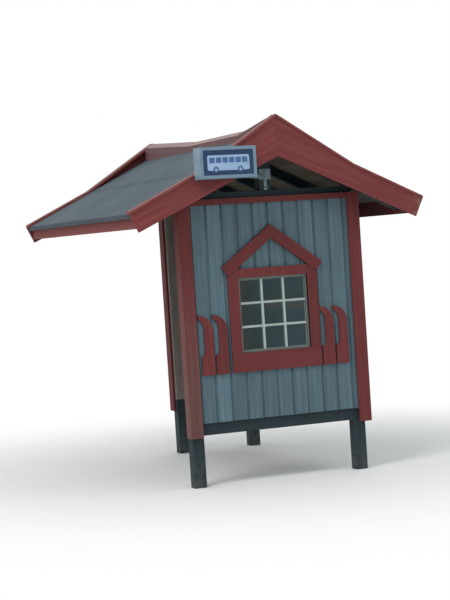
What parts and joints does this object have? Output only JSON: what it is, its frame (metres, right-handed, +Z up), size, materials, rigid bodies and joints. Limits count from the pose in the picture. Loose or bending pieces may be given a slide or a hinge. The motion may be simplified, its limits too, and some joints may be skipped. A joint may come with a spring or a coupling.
{
  "type": "bus shelter",
  "caption": "Timber bus shelter on short legs with boarded walls, a hooded window, an open front, a felted gable roof with wide bargeboards and a hanging sign.",
  "frame": {"origin": "on the ground, under the middle of the whole shelter's box", "axes": "+Y along the ridge, away from the wall with the window; +X across the shelter, away from the open front; +Z up"},
  "size_m": [2.38, 3.016, 2.7557],
  "materials": {
    "frame_timber": "dark blue-grey stain, satin, weathered",
    "wall_boards": "blue-grey painted vertical boards, weathered",
    "trim_paint": "brick-red paint, weathered",
    "roof_boards": "bare sawn boards, aged brown",
    "roofing_felt": "grey mineral roofing felt",
    "window_paint": "white paint, satin",
    "glass": "clear pane",
    "sign_case": "white powder coat",
    "sign_face": "blue sign enamel",
    "arm_steel": "pale grey paint"
  },
  "bodies": {
    "root": {"post_near_front": "frame_timber", "post_near_back": "frame_timber", "post_far_back": "frame_timber", "post_far_middle": "frame_timber", "sill_near": "frame_timber", "sill_back": "frame_timber", "sill_far": "frame_timber", "tie_near": "frame_timber", "tie_far": "frame_timber", "plate_front": "frame_timber", "plate_back": "frame_timber", "window_framing": "frame_timber", "wall_rails": "frame_timber", "king_posts": "frame_timber", "ridge_beam": "frame_timber", "rafters": "frame_timber", "roof_boards_front": "roof_boards", "roof_boards_back": "roof_boards", "felt": "roofing_felt", "ridge_boards": "trim_paint", "bargeboard_near_front": "trim_paint", "bargeboard_near_back": "trim_paint", "bargeboard_far_front": "trim_paint", "bargeboard_far_back": "trim_paint", "verge_cap_near": "trim_paint", "verge_cap_far": "trim_paint", "fascia_front": "trim_paint", "fascia_back": "trim_paint", "wall_near": "wall_boards", "wall_back": "wall_boards", "wall_far": "wall_boards", "corner_near_front": "trim_paint", "corner_near_back": "trim_paint", "corner_far_back": "trim_paint", "corner_far_middle": "trim_paint", "top_bands": "trim_paint", "window_frame": "window_paint", "window_glass": "glass", "window_casing": "trim_paint", "window_hood": "trim_paint", "window_band": "trim_paint", "pickets": "trim_paint", "sign_case": "sign_case", "sign_face": "sign_face", "sign_arm": "arm_steel"}
  },
  "joints": []
}
